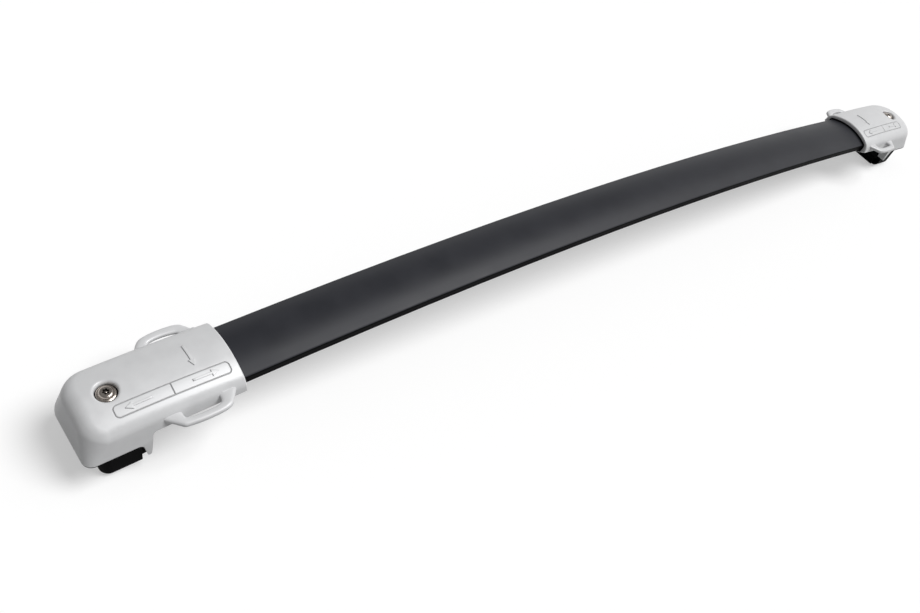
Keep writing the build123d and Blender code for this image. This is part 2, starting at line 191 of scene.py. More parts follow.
@dataclass(frozen=True)
class Finish:
    """Surface of one material, with its lengths in metres.

    Attributes:
        name: Name of the material.
        slot: Slot of the pieces that have it; not used in this script.
        dark: Shade of the dark patches.
        light: Shade of the light patches.
        rough: Roughness of the dark and of the light patches.
        patch: Width of the patches.
        grain: Width of the grain.
        relief: Depth of the grain.
        metallic: Share of metal.
        specular: Strength of the gloss.
        edge: Radius of softened edges, or 0 for none.
    """

    name: str
    slot: str
    dark: Colour
    light: Colour
    rough: tuple[float, float]
    patch: float
    grain: float
    relief: float
    metallic: float = 0.0
    specular: float = 0.5
    edge: float = 0.0

    def material(self) -> bpy.types.Material:
        """Make the material.

        Returns:
            The material with its node tree.
        """
        graph = Graph(self.name)
        clouds = graph.noise(self.patch, PATCH_DETAIL)
        graph.shades(clouds, self.dark, self.light)
        graph.surface.inputs["Metallic"].default_value = self.metallic
        graph.surface.inputs["Specular IOR Level"].default_value = self.specular
        grain = graph.noise(self.grain, GRAIN_DETAIL)
        graph.links.new(graph.spread(clouds, *self.rough), graph.surface.inputs["Roughness"])
        graph.bump(grain, self.relief, self.edge)
        return graph.material


BAR_COAT = Finish(
    "satin_black_coat", "bar_coat", (0.021, 0.022, 0.027), (0.027, 0.028, 0.034),
    rough=(0.42, 0.48), patch=0.03, grain=0.0006, relief=0.000012, specular=0.22,
)
# Painted shade: a far darker, duller black for the bar's sloping sides, standing in for the shade
# they sit in.
BAR_SIDE_PAINTED_SHADE = Finish(
    "bar_side_painted_shade", "bar_coat", (0.0012, 0.0012, 0.0014), (0.0022, 0.0022, 0.0025),
    rough=(0.55, 0.65), patch=0.02, grain=0.0006, relief=0.00001, specular=0.03,
)
CAP_PAINT = Finish(
    "silver_cap_paint", "cap_paint", (0.66, 0.663, 0.672), (0.70, 0.704, 0.712),
    rough=(0.34, 0.40), patch=0.012, grain=0.0005, relief=0.000014,
    metallic=0.08, specular=0.28, edge=0.0007,
)
# Painted highlight: a lighter silver on the rim of the mouth, standing in for the light that it
# catches.
RIM_PAINTED_HIGHLIGHT = Finish(
    "rim_painted_highlight", "cap_paint", (0.86, 0.864, 0.872), (0.90, 0.904, 0.912),
    rough=(0.34, 0.40), patch=0.012, grain=0.0005, relief=0.000014, specular=0.28, edge=0.0035,
)
RUBBER = Finish(
    "black_rubber", "rubber", (0.0015, 0.0015, 0.0017), (0.0035, 0.0035, 0.0038),
    rough=(0.62, 0.74), patch=0.008, grain=0.0004, relief=0.00003, specular=0.05,
)
JAW_PLASTIC = Finish(
    "grained_black_plastic", "jaw_plastic", (0.001, 0.001, 0.0012), (0.0025, 0.0025, 0.0028),
    rough=(0.46, 0.56), patch=0.01, grain=0.0007, relief=0.00004, specular=0.012,
)
BOLT_STEEL = Finish(
    "plated_bolt_steel", "bolt_steel", (0.48, 0.43, 0.39), (0.64, 0.58, 0.53),
    rough=(0.20, 0.30), patch=0.003, grain=0.0002, relief=0.000005, metallic=1.0,
)
# Painted shade: a near-black steel for the faces of the bolt's drive socket, standing in for the
# shade inside it.
SOCKET_PAINTED_SHADE = Finish(
    "socket_painted_shade", "bolt_steel", (0.010, 0.008, 0.007), (0.030, 0.024, 0.020),
    rough=(0.45, 0.60), patch=0.001, grain=0.0002, relief=0.000005, specular=0.2,
)
# Painted shade: a darker grey laid on the floor of the panel's grooves, standing in for the shade
# in them.
GROOVE_PAINTED_SHADE = Finish(
    "groove_painted_shade", "cap_paint", (0.32, 0.32, 0.325), (0.40, 0.40, 0.405),
    rough=(0.60, 0.75), patch=0.002, grain=0.0003, relief=0.00001, specular=0.2,
)
STEEL = Finish(
    "zinc_plated_steel", "steel", (0.46, 0.46, 0.46), (0.56, 0.56, 0.55),
    rough=(0.30, 0.42), patch=0.004, grain=0.0003, relief=0.000006, metallic=1.0,
)


class Shop:
    """Makes each finish once and puts it on pieces."""

    def __init__(self) -> None:
        """Start with no material made."""
        self.made: dict[str, bpy.types.Material] = {}

    def paint(self, piece: Piece, finish: Finish) -> None:
        """Give a piece one finish.

        Args:
            piece: Mesh to paint.
            finish: Its finish.
        """
        piece.data.materials.clear()
        piece.data.materials.append(self.material(finish))
        LOG.info("%s gets %s", piece.name, finish.name)

    def material(self, finish: Finish) -> bpy.types.Material:
        """Material of a finish, made at its first use.

        Args:
            finish: The finish.

        Returns:
            Its material.
        """
        if finish.name not in self.made:
            self.made[finish.name] = finish.material()
        return self.made[finish.name]


@dataclass
class Crossbar:
    """The arched black bar with its seals and screws.

    Attributes:
        shop: Where its finishes are made.
        seals: Nodes of the seals.
        screws: Nodes of the screws.
        shade_slope: Upward share of a face's normal below which the face gets the painted shade of
            the sides.
    """

    shop: Shop
    seals: tuple[str, ...] = ("left_bar_seal", "right_bar_seal")
    screws: tuple[str, ...] = ("left_bar_screws", "right_bar_screws")
    shade_slope: float = 0.5

    def dress(self) -> None:
        """Paint the bar, with painted shade on its sloping sides, and what holds it in the caps.
        """
        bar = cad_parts["crossbar"]
        self.shop.paint(bar, BAR_COAT)
        bar.data.materials.append(self.shop.material(BAR_SIDE_PAINTED_SHADE))
        # Faces that slope more than shade_slope get painted shade: the darker black stands in for
        # the shadow on the bar's sides.
        for face in bar.data.polygons:
            face.material_index = int(face.normal.z < self.shade_slope)
        for name in self.seals:
            self.shop.paint(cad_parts[name], RUBBER)
        for name in self.screws:
            self.shop.paint(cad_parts[name], STEEL)


@dataclass(frozen=True)
class EndPlace:
    """Frame of one end in millimetres: X outward from the cap's mouth, Y to the back, Z upward.

    Attributes:
        side: The end.
        out: Distance of the mouth from the middle of the bar.
        up: Height of the mouth.
        lean: Slope of the end in degrees, down and outward.
        roof_peak: Greatest height of the cap's crowned roof.
        roof_peak_x: Where that is.
        roof_along: Radius of the crown along X.
        roof_across: Radius of the crown across.
        rim: Height of the lower rim of the nose.
        nose_length: Reach of the nose at the rim.
        half_width: Half of the cap's width at the rim.
        nose_draft: Draft of the end face in degrees.
        side_draft: Draft of the side walls in degrees.
        back_radius: Radius of the nose's back corner at the rim.
        back_growth: Growth of that radius with the height.
    """

    side: Side
    out: float = 435.132
    up: float = 55.487
    lean: float = 5.6473
    roof_peak: float = 15.9
    roof_peak_x: float = 86.0
    roof_along: float = 1000.0
    roof_across: float = 60.0
    rim: float = -15.3
    nose_length: float = 126.5
    half_width: float = 35.4
    nose_draft: float = 11.5
    side_draft: float = 9.5
    back_radius: float = 21.0
    back_growth: float = 0.15

    def nose_corner(self, angle: float, z: float, inset: float) -> Vector:
        """Point on the rounded back corner of the nose.

        Args:
            angle: Angle about the corner in degrees, from outward.
            z: Height.
            inset: Depth below the surface.

        Returns:
            The point in the scene, in metres.
        """
        rise = max(z - self.rim, 0.0)
        radius = self.back_radius + rise * self.back_growth
        x = self.nose_length - rise * math.tan(math.radians(self.nose_draft)) - radius
        y = self.half_width - rise * math.tan(math.radians(self.side_draft)) - radius
        turn = math.radians(angle)
        reach = radius - inset
        return self.world(x + reach * math.cos(turn), y + reach * math.sin(turn), z)

    def wall(self, z: float) -> float:
        """Distance of the drafted side wall from the middle at a height."""
        return self.half_width - (z - self.rim) * math.tan(math.radians(self.side_draft))

    def roof(self, x: float, y: float) -> float:
        """Height of the crowned roof of the cap.

        Args:
            x: Distance from the mouth.
            y: Distance across.

        Returns:
            The height.
        """
        drop = self.roof_across - math.sqrt(self.roof_across**2 - y**2)
        arch = math.sqrt((self.roof_along - drop) ** 2 - (x - self.roof_peak_x) ** 2)
        return self.roof_peak - self.roof_along + arch

    def world(self, x: float, y: float, z: float) -> Vector:
        """Place of a point of the end in the scene.

        Args:
            x: Distance from the mouth.
            y: Distance across.
            z: Height.

        Returns:
            The point in metres.
        """
        sin, cos = math.sin(math.radians(self.lean)), math.cos(math.radians(self.lean))
        out = self.side.value * (self.out + x * cos + z * sin)
        return MM * Vector((out, y, self.up - x * sin + z * cos))

    def local(self, point: Vector) -> Point:
        """Place of a point of the scene in the end.

        Args:
            point: The point in metres.

        Returns:
            Its distances from the mouth and across, and its height.
        """
        sin, cos = math.sin(math.radians(self.lean)), math.cos(math.radians(self.lean))
        x, z = self.side.value * point.x / MM - self.out, point.z / MM - self.up
        return x * cos - z * sin, point.y / MM, x * sin + z * cos


@contextmanager
def editing() -> Iterator[None]:
    """Hold the active piece in edit mode.

    Yields:
        Nothing, while the mode lasts.
    """
    bpy.ops.object.mode_set(mode="EDIT")
    yield
    bpy.ops.object.mode_set(mode="OBJECT")


def clear_picks(kind: Element) -> None:
    """Deselect all of the active mesh.

    Args:
        kind: What is picked on it next.
    """
    with editing():
        bpy.ops.mesh.select_mode(type=kind.value)
        bpy.ops.mesh.select_all(action="DESELECT")


def merge_points() -> None:
    """Join the points of the active mesh that coincide."""
    with editing():
        bpy.ops.mesh.select_all(action="SELECT")
        bpy.ops.mesh.remove_doubles(threshold=MERGE_GAP)


def face_outward() -> None:
    """Turn all faces of the active mesh outward."""
    with editing():
        bpy.ops.mesh.select_all(action="SELECT")
        bpy.ops.mesh.normals_make_consistent(inside=False)


def round_edges(piece: Piece, width: float) -> None:
    """Round the sharp edges of a piece.

    Args:
        piece: The piece, selected alone.
        width: Width of the rounding in millimetres.
    """
    bevel = piece.modifiers.new("bevel", "BEVEL")
    bevel.width = width * MM
    bevel.segments = EDGE_SEGMENTS
    bevel.limit_method = "ANGLE"
    bpy.ops.object.modifier_apply(modifier=bevel.name)


def pick(piece: Piece) -> None:
    """Select one piece alone.

    Args:
        piece: The piece.
    """
    bpy.ops.object.select_all(action="DESELECT")
    piece.select_set(True)
    bpy.context.view_layer.objects.active = piece


def copy_of(node: Piece, name: str) -> Piece:
    """Copy a CAD node, with its loose triangles joined.

    Args:
        node: The node.
        name: Name of the copy.

    Returns:
        The copy, selected alone.
    """
    piece = bpy.data.objects.new(name, node.data.copy())
    bpy.context.scene.collection.objects.link(piece)
    pick(piece)
    merge_points()
    bpy.ops.mesh.customdata_custom_splitnormals_clear()
    return piece


def carve(piece: Piece, block: Piece, carving: Carving) -> None:
    """Cut a piece with a block, which is then thrown away.

    Args:
        piece: Piece to cut.
        block: The block.
        carving: What is done where the block is.
    """
    pick(piece)
    cut = piece.modifiers.new("cut", "BOOLEAN")
    cut.operation = carving.value
    cut.solver = "EXACT"
    cut.object = block
    bpy.ops.object.modifier_apply(modifier=cut.name)
    bpy.data.objects.remove(block)


class Sheet:
    """A flat piece that is shaped on the bench and then put in its place on a cap."""

    def __init__(self, name: str, length: float, width: float) -> None:
        """Start with a rectangle about the middle of the bench.

        Args:
            name: Name of the piece.
            length: Length along X in millimetres.
            width: Width along Y in millimetres.
        """
        bpy.ops.object.select_all(action="DESELECT")
        bpy.ops.mesh.primitive_plane_add(size=UNIT, location=ORIGIN)
        self.piece = bpy.context.object
        self.piece.name = name
        size = (length * MM, width * MM, 1.0)
        with editing():
            bpy.ops.transform.resize(value=size, center_override=ORIGIN)

    def pick_end(self) -> float:
        """Select the vertices at the far end.

        Returns:
            Distance of that end in metres.
        """
        end = max(vertex.co.x for vertex in self.piece.data.vertices)
        clear_picks(Element.VERTEX)
        for vertex in self.piece.data.vertices:
            vertex.select = vertex.co.x > end - MERGE_GAP
        return end

    def stretch_end(self, length: float, spread: float) -> None:
        """Extrude the far end and widen or narrow it.

        Args:
            length: Length of the new part in millimetres.
            spread: Width of the new end as a share of the old one.
        """
        end = self.pick_end()
        move = {"value": (length * MM, 0.0, 0.0)}
        with editing():
            bpy.ops.mesh.extrude_region_move(TRANSFORM_OT_translate=move)
            bpy.ops.transform.resize(value=(1.0, spread, 1.0), center_override=(end, 0.0, 0.0))

    def divide(self, cuts: int) -> None:
        """Cut all faces finely enough to follow a curved surface.

        Args:
            cuts: Number of cuts in each edge.
        """
        with editing():
            bpy.ops.mesh.select_all(action="SELECT")
            bpy.ops.mesh.subdivide(number_cuts=cuts)

    def settle(
        self, place: Callable[[float, float], Vector], thick: float, edge: float = 0.0
    ) -> Piece:
        """Put the sheet in its place and give it its thickness.

        Args:
            place: Place in the scene of a point of the bench in millimetres.
            thick: Thickness in millimetres.
            edge: Rounding of its edges in millimetres, or 0 for none.

        Returns:
            The finished piece, riding on the rack.
        """
        for vertex in self.piece.data.vertices:
            vertex.co = place(vertex.co.x / MM, vertex.co.y / MM)
        merge_points()
        face_outward()
        wall = self.piece.modifiers.new("wall", "SOLIDIFY")
        wall.thickness = thick * MM
        wall.offset = 0.0
        bpy.ops.object.modifier_apply(modifier=wall.name)
        if edge:
            round_edges(self.piece, edge)
        bpy.ops.object.shade_smooth_by_angle(angle=SMOOTH_ANGLE)
        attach(self.piece, "rack")
        return self.piece

    def lay(
        self, end: EndPlace, spot: tuple[float, float], turn: float, height: float, thick: float,
        edge: float = 0.0,
    ) -> Piece:
        """Lay the sheet on the roof of a cap.

        Args:
            end: End whose roof carries it.
            spot: Distances of its middle from the mouth and across.
            turn: Turn of its X axis in degrees.
            height: Height of its middle over the roof.
            thick: Thickness.
            edge: Rounding of its edges, or 0 for none.

        Returns:
            The finished piece.
        """
        sin, cos = math.sin(math.radians(turn)), math.cos(math.radians(turn))

        def place(along: float, across: float) -> Vector:
            """Point over the roof for a point of the bench."""
            x, y = spot[0] + along * cos - across * sin, spot[1] + along * sin + across * cos
            return end.world(x, y, end.roof(x, y) + height)

        return self.settle(place, thick, edge)


@dataclass(frozen=True)
class TieLoop:
    """A tie-down loop cast on a side wall of a cap, drawn from above.

    Its curves are given by the corners that they round: distances from the mouth, and reaches
    from the wall.

    Attributes:
        name: Name of the piece, after that of its end.
        wall: Side wall that carries it.
        top: Height of its upper side.
        thick: Thickness from top to bottom.
        outer: Corners of its outer curve.
        inner: Corners of its inner curve, as many.
        rounds: Number of times that the corners are cut.
        fullness: Power that swells its section from a circle, at 1, toward a square, at 0.
        sides: Number of sides of its section.
    """

    name: str
    wall: Wall
    top: float
    thick: float
    outer: Curve
    inner: Curve
    rounds: int = 3
    fullness: float = 0.75
    sides: int = 24

    def smooth(self, corners: Curve) -> list[Vector]:
        """Round the corners of a curve.

        Args:
            corners: The corners.

        Returns:
            Points of the rounded curve, twice as many for each round.
        """
        points = [Vector(corner) for corner in corners]
        for _ in range(self.rounds):
            cut = [points[0]]
            for first, second in zip(points, points[1:]):
                cut += [first.lerp(second, share) for share in (CORNER_CUT, 1.0 - CORNER_CUT)]
            points = [*cut, points[-1]]
        return points

    def build(self, end: EndPlace) -> Piece:
        """Bend a round bar to the two curves.

        Args:
            end: End that carries the loop.

        Returns:
            The loop.
        """
        outer, inner = self.smooth(self.outer), self.smooth(self.inner)
        last = len(outer) - 1
        bpy.ops.object.select_all(action="DESELECT")
        bpy.ops.mesh.primitive_cylinder_add(
            vertices=self.sides, radius=UNIT, depth=last, location=ORIGIN
        )
        piece = bpy.context.object
        piece.name = f"{end.side.word}_{self.name}"
        clear_picks(Element.EDGE)
        spots = piece.data.vertices
        for edge in piece.data.edges:
            first, second = (spots[index].co.z for index in edge.vertices)
            edge.select = abs(first - second) > last / 2
        with editing():
            bpy.ops.mesh.subdivide(number_cuts=last - 1)
        for vertex in piece.data.vertices:
            ring = round(vertex.co.z + last / 2)
            across, up = (math.copysign(abs(c) ** self.fullness, c) for c in vertex.co.xy)
            x, reach = inner[ring].lerp(outer[ring], (1.0 + across) / 2)
            z = self.top + (up - 1.0) * self.thick / 2
            vertex.co = end.world(x, self.wall.value * (end.wall(self.top) + reach), z)
        face_outward()
        bpy.ops.object.shade_smooth_by_angle(angle=LOOP_SMOOTH_ANGLE)
        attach(piece, "rack")
        return piece


LOOPS = (
    TieLoop(
        "front_loop", Wall.FRONT, top=2.6, thick=5.0,
        outer=((7.5, -3.0), (8.8, 0.0), (13.2, 5.8), (19.0, 13.3), (40.0, 13.86),
               (52.4, 12.4), (55.6, 11.9), (57.8, 9.6), (67.2, 0.0), (69.5, -3.0)),
        inner=((22.5, -3.0), (23.0, 0.0), (23.2, 4.0), (25.5, 6.9), (40.0, 7.4),
               (50.0, 6.6), (52.2, 5.2), (52.5, 3.6), (52.6, 0.0), (52.8, -3.0)),
    ),
    TieLoop(
        "back_loop", Wall.BACK, top=-2.4, thick=4.4,
        outer=((8.0, -3.0), (9.0, 0.0), (13.4, 5.6), (18.5, 11.87), (36.0, 13.17),
               (49.0, 11.67), (53.0, 9.3), (56.5, 5.0), (59.7, 0.0), (61.5, -3.0)),
        inner=((21.5, -3.0), (22.0, 0.0), (22.2, 2.6), (24.0, 4.6), (36.0, 6.1),
               (44.5, 5.2), (46.4, 3.9), (46.9, 2.4), (47.0, 0.0), (47.2, -3.0)),
    ),
)


@dataclass(frozen=True)
class LoopRoom:
    """Room along a side wall that is cleared of the casting's plain loop, in millimetres.

    Attributes:
        start: Nearest distance from the mouth.
        stop: Farthest distance from the mouth.
        low: Lowest height.
        high: Greatest height.
        outside: Distance across to which it reaches.
        gap: Thickness that is left on the wall.
        shoulder: Shift of the wall inward per squared height over the start of its shoulder.
        shoulder_low: Height at which the shoulder starts.
        cuts: Number of cuts in each edge of the block that clears it.
    """

    start: float = 6.0
    stop: float = 70.0
    low: float = -2.6
    high: float = 2.8
    outside: float = 50.0
    gap: float = 0.01
    shoulder: float = 0.03
    shoulder_low: float = -0.4
    cuts: int = 7


@dataclass(frozen=True)
class Panel:
    """The grooved panel on the roof of a cap, in millimetres.

    Attributes:
        start: Distance of its near end from the mouth.
        stop: Distance of its far end.
        y: Distance of its middle across.
        width: Width over the groove.
        corner: Radius of its corners.
        segments: Number of segments in a corner.
        divider: Distance of the groove across it from the mouth.
        groove: Width of the groove.
        depth: Depth of the groove.
        margin: Gap from the edges of the painted shade to the groove's walls, and from its middle
            to the floor.
        paint: Thickness of the sheet of painted shade in the groove.
        cuts: Number of cuts in each edge of the sheet of painted shade.
    """

    start: float = 6.5
    stop: float = 96.5
    y: float = -18.0
    width: float = 10.0
    corner: float = 3.5
    segments: int = 6
    divider: float = 52.5
    groove: float = 0.9
    depth: float = 0.5
    margin: float = 0.06
    paint: float = 0.08
    cuts: int = 7


@dataclass(frozen=True)
class CornerShell:
    """A piece that closes the back corner of the nose, where the pocket of the jaw runs out.

    Attributes:
        name: Name of the piece, after that of its end.
        finish: Its finish.
        low: Height of its lower edge in millimetres.
        high: Height of its upper edge.
        inset: Depth of its outside below the surface.
        thick: Its thickness.
        middle: Angle of its middle about the corner in degrees, from outward.
        span: Angle from end to end.
        cuts: Number of cuts in each edge.
    """

    name: str
    finish: Finish
    low: float
    high: float
    inset: float
    thick: float
    middle: float = 47.0
    span: float = 34.0
    cuts: int = 15


@dataclass(frozen=True)
class Arrow:
    """A plain arrow cast on the roof of a cap, in millimetres.

    Attributes:
        name: Name of the piece, after that of its end.
        spot: Distances of its shaft's middle from the mouth and across.
        turn: Turn of its point in degrees, from outward.
        shaft: Length and width of the shaft.
        step: Length of the step from the shaft to the head.
        spread: Width of the head as a share of the shaft's.
        head: Length of the head.
        tip: Width of the point as a share of the head's.
        height: Height of its middle over the roof.
        thick: Thickness.
        edge: Rounding of its edges.
        cuts: Number of cuts in each edge.
    """

    name: str
    spot: tuple[float, float]
    turn: float
    shaft: tuple[float, float] = (15.0, 1.7)
    step: float = 0.02
    spread: float = 3.2
    head: float = 5.2
    tip: float = 0.08
    height: float = 0.3
    thick: float = 0.8
    edge: float = 0.12
    cuts: int = 5


@dataclass
class EndPart:
    """Sub-assembly at one end of the bar.

    Attributes:
        shop: Where its finishes are made.
        side: The end.
    """

    shop: Shop
    side: Side

    @property
    def end(self) -> EndPlace:
        """Frame of the end."""
        return EndPlace(self.side)

    def node(self, name: str) -> Piece:
        """CAD node of this end, by the rest of its name."""
        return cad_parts[f"{self.side.word}_{name}"]

    def finish(self, piece: Piece, finish: Finish) -> None:
        """Paint a new piece.

        Args:
            piece: The piece.
            finish: Its finish.
        """
        self.shop.paint(piece, finish)


@dataclass
class EndCap(EndPart):
    """One silver end cap with its rubber pieces, its loops and the marks on its roof.

    Attributes:
        rubber: Nodes of the rubber pieces.
        loops: The rounded loops.
        room: Room that is cleared for each of them.
        rim: Greatest distance from the mouth of the rim's faces that get the painted highlight.
        panel: The panel on the roof.
        corners: Pieces that close the back corner of the nose.
        arrows: The arrows on the roof.
    """

    rubber: tuple[str, ...] = ("base_gasket", "leg_pad", "bolt_washer")
    loops: tuple[TieLoop, ...] = LOOPS
    room: LoopRoom = LoopRoom()
    rim: float = 1.5
    panel: Panel = Panel()
    corners: tuple[CornerShell, ...] = (
        CornerShell("nose_corner_wall", CAP_PAINT, low=-15.3, high=-7.4, inset=0.03, thick=1.2),
        CornerShell("gasket_corner", RUBBER, low=-16.7, high=-15.3, inset=0.43, thick=0.9),
    )
    arrows: tuple[Arrow, ...] = (
        Arrow("panel_arrow_out", (75.0, -18.0), 0.0),
        Arrow("panel_arrow_in", (29.0, -18.0), 180.0),
        Arrow("roof_arrow", (30.0, 5.0), -90.0),
    )

    def dress(self) -> None:
        """Paint the casting and its rubber, round its loops, lay painted shade in the groove and
        add the marks.
        """
        self.shop.paint(self.node("end_cap"), CAP_PAINT)
        for name in self.rubber:
            self.shop.paint(self.node(name), RUBBER)
        self.trim_loops()
        for loop in self.loops:
            self.finish(loop.build(self.end), CAP_PAINT)
        self.fill_groove()
        for corner in self.corners:
            self.close_corner(corner)
        for arrow in self.arrows:
            self.raise_arrow(arrow)

    def loop_block(self, wall: Wall) -> Piece:
        """Make the block that clears a side wall of its plain loop.

        Args:
            wall: The side wall.

        Returns:
            The block, with its inside just off the wall.
        """
        end, room = self.end, self.room
        bpy.ops.object.select_all(action="DESELECT")
        bpy.ops.mesh.primitive_cube_add(size=UNIT, location=ORIGIN)
        block = bpy.context.object
        with editing():
            bpy.ops.mesh.subdivide(number_cuts=room.cuts)
        for vertex in block.data.vertices:
            along, out, up = (part + UNIT / 2 for part in vertex.co)
            x = room.start + (room.stop - room.start) * along
            z = room.low + (room.high - room.low) * up
            shoulder = room.shoulder * max(z - room.shoulder_low, 0.0) ** 2
            inside = end.wall(z) + room.gap - shoulder
            vertex.co = end.world(x, wall.value * (inside + (room.outside - inside) * out), z)
        face_outward()
        return block

    def trim_loops(self) -> None:
        """Take the plain loops off the casting, to make room for the rounded ones."""
        piece = copy_of(self.node("end_cap"), f"{self.side.word}_trimmed_cap")
        for wall in Wall:
            carve(piece, self.loop_block(wall), Carving.CLEAR)
        bpy.ops.object.shade_smooth_by_angle(angle=SMOOTH_ANGLE)
        even = piece.modifiers.new("even", "WEIGHTED_NORMAL")
        even.keep_sharp = True
        bpy.ops.object.modifier_apply(modifier=even.name)
        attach(piece, "rack")
        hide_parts(f"{self.side.word}_end_cap")
        self.finish(piece, CAP_PAINT)
        self.paint_rim_highlight(piece)

    def paint_rim_highlight(self, piece: Piece) -> None:
        """Paint a highlight on the rim of the mouth: a lighter silver that stands in for the light
        that it catches.

        Args:
            piece: The trimmed casting.
        """
        end = self.end
        piece.data.materials.append(self.shop.material(RIM_PAINTED_HIGHLIGHT))
        for face in piece.data.polygons:
            near = end.local(face.center)[0] < self.rim
            face.material_index = int(near and face.normal.x * self.side.value < -FACING)

    def fill_groove(self) -> None:
        """Lay painted shade on the floor of the groove round the panel, and of the one across it:
        a grey sheet that darkens the groove as its shade would.
        """
        panel = self.panel
        start, stop = panel.start + panel.margin, panel.stop - panel.margin
        across = panel.width - 2 * panel.margin
        wide = panel.groove - 2 * panel.margin
        corner = (panel.corner - panel.margin) * MM
        ring = Sheet(f"{self.side.word}_panel_groove_paint", stop - start, across)
        with editing():
            bpy.ops.mesh.select_all(action="SELECT")
            bpy.ops.mesh.bevel(offset=corner, segments=panel.segments, affect="VERTICES")
            bpy.ops.mesh.select_all(action="SELECT")
            bpy.ops.mesh.inset(thickness=wide * MM)
            bpy.ops.mesh.delete(type="FACE")
        self.lay_paint(ring, (start + stop) / 2, ALONG)
        across = panel.width - 2 * panel.groove
        strip = Sheet(f"{self.side.word}_panel_divider_paint", across, wide)
        self.lay_paint(strip, panel.divider, ACROSS)

    def lay_paint(self, sheet: Sheet, x: float, turn: float) -> None:
        """Lay a sheet of painted shade in the groove.

        Args:
            sheet: The sheet.
            x: Distance of its middle from the mouth.
            turn: Turn of its X axis in degrees.
        """
        panel = self.panel
        sheet.divide(panel.cuts)
        height = panel.margin - panel.depth
        piece = sheet.lay(self.end, (x, panel.y), turn, height, panel.paint)
        self.finish(piece, GROOVE_PAINTED_SHADE)

    def close_corner(self, corner: CornerShell) -> None:
        """Close the rounded back corner of the nose.

        Args:
            corner: The piece that closes it.
        """
        end = self.end
        depth = corner.inset + corner.thick / 2
        sheet = Sheet(f"{self.side.word}_{corner.name}", corner.span, corner.high - corner.low)
        sheet.divide(corner.cuts)

        def place(along: float, up: float) -> Vector:
            """Point of the corner for a point of the bench."""
            z = (corner.low + corner.high) / 2 + up
            return end.nose_corner(corner.middle + along, z, depth)

        self.finish(sheet.settle(place, corner.thick), corner.finish)

    def raise_arrow(self, arrow: Arrow) -> None:
        """Cast a plain arrow on the roof.

        Args:
            arrow: The arrow.
        """
        sheet = Sheet(f"{self.side.word}_{arrow.name}", *arrow.shaft)
        sheet.stretch_end(arrow.step, arrow.spread)
        sheet.stretch_end(arrow.head, arrow.tip)
        sheet.divide(arrow.cuts)
        piece = sheet.lay(
            self.end, arrow.spot, arrow.turn, arrow.height, arrow.thick, arrow.edge
        )
        self.finish(piece, CAP_PAINT)


